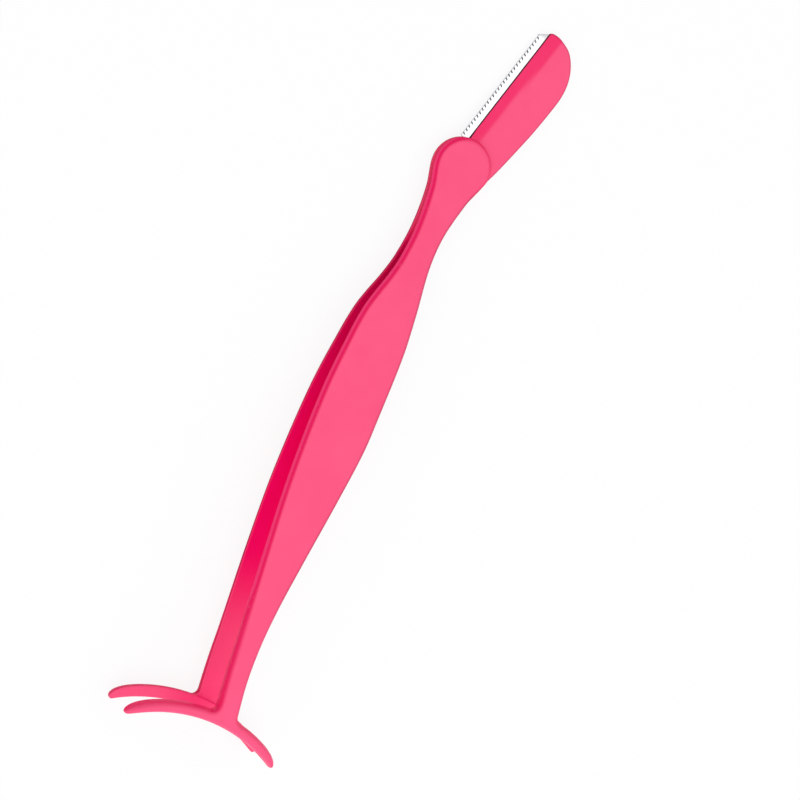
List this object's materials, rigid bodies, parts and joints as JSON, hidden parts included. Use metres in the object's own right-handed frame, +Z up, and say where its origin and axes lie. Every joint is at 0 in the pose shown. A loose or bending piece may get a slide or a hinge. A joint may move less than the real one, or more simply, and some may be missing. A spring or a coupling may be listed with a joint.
{
  "type": "lash applicator tweezers with folding razor",
  "caption": "Sprung plastic tweezers with a forked, concave clamp for placing false lashes and a guarded eyebrow razor that folds between the arms.",
  "frame": {"origin": "middle of the footprint, on the surface that the tool lies on", "axes": "+X from the razor to the clamp, +Y to the razor's spine side, +Z up, towards the front arm"},
  "size_m": [0.1452, 0.0312, 0.0147],
  "materials": {
    "pink_plastic": "satin moulded",
    "holder_plastic": "satin moulded",
    "pin_steel": "turned",
    "blade_steel": "ground",
    "guard_steel": "stamped foil"
  },
  "bodies": {
    "neck": {"neck_block": "pink_plastic", "pivot_pin": "pin_steel"},
    "front_arm": {"front_arm": "pink_plastic"},
    "rear_arm": {"rear_arm": "pink_plastic"},
    "razor": {"razor_holder": "holder_plastic", "razor_blade": "blade_steel", "blade_guard": "guard_steel"}
  },
  "joints": [
    {"name": "front_squeeze", "type": "hinge", "parent": "neck", "child": "front_arm", "pos_m": [-0.03347, 0.0023, 0.00298], "axis": [0, 1, 0], "range_deg": [0, 2.44], "stiffness_Nm_per_rad": 1},
    {"name": "rear_squeeze", "type": "hinge", "parent": "neck", "child": "rear_arm", "pos_m": [-0.03341, 0.0023, 0.00173], "axis": [0, -1, 0], "range_deg": [0, 2.44], "stiffness_Nm_per_rad": 1},
    {"name": "razor_fold", "type": "hinge", "parent": "neck", "child": "razor", "pos_m": [-0.04283, 0.0023, 0.0019], "axis": [-0.0482, 0, 0.9988], "range_deg": [0, 182]}
  ],
  "couplings": [
    {"joint": "rear_squeeze", "follows": "front_squeeze", "ratio": 1}
  ]
}
